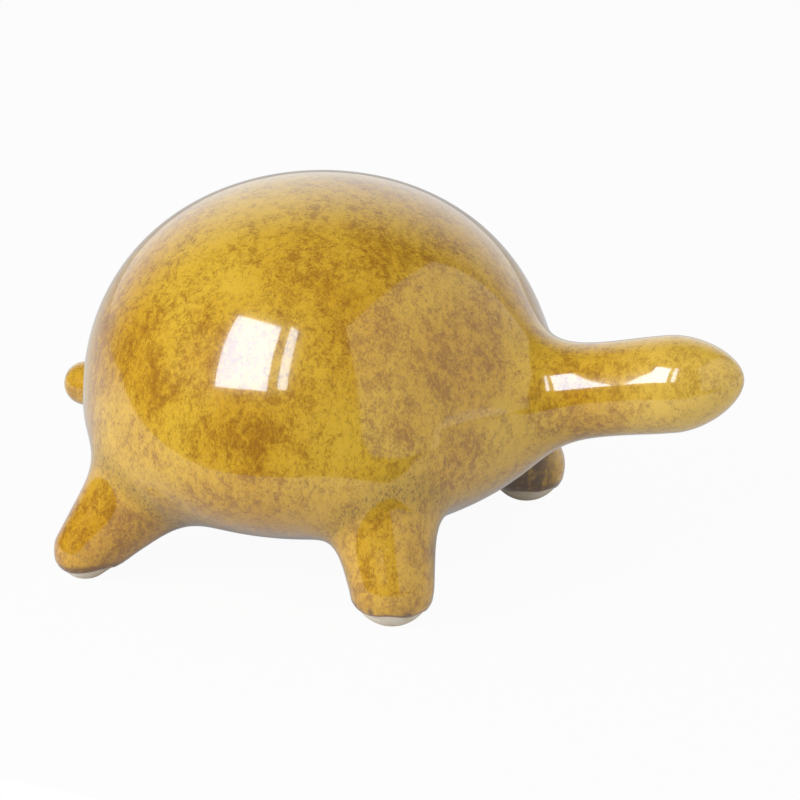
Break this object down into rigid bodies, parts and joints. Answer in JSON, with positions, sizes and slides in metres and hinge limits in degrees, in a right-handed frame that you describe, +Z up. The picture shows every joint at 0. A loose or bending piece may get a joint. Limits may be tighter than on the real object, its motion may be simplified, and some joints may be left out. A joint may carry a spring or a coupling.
{
  "type": "turtle figurine",
  "caption": "Glazed stoneware turtle ornament with a smooth domed shell, long plain neck and head, stub legs and a nub of a tail.",
  "frame": {"origin": "on the table, under the middle of the overall box", "axes": "+X towards the nose, +Y to the turtle's left, +Z up"},
  "size_m": [0.2411, 0.1562, 0.1221],
  "materials": {
    "clay": "matt unglazed stoneware",
    "glaze": "glossy mottled amber glaze"
  },
  "bodies": {
    "root": {"upper_body": "clay", "lower_body": "clay", "neck_and_head": "clay", "tail": "clay", "front_leg_left": "clay", "front_leg_right": "clay", "hind_leg_left": "clay", "hind_leg_right": "clay", "glaze_coat": "glaze"}
  },
  "joints": []
}
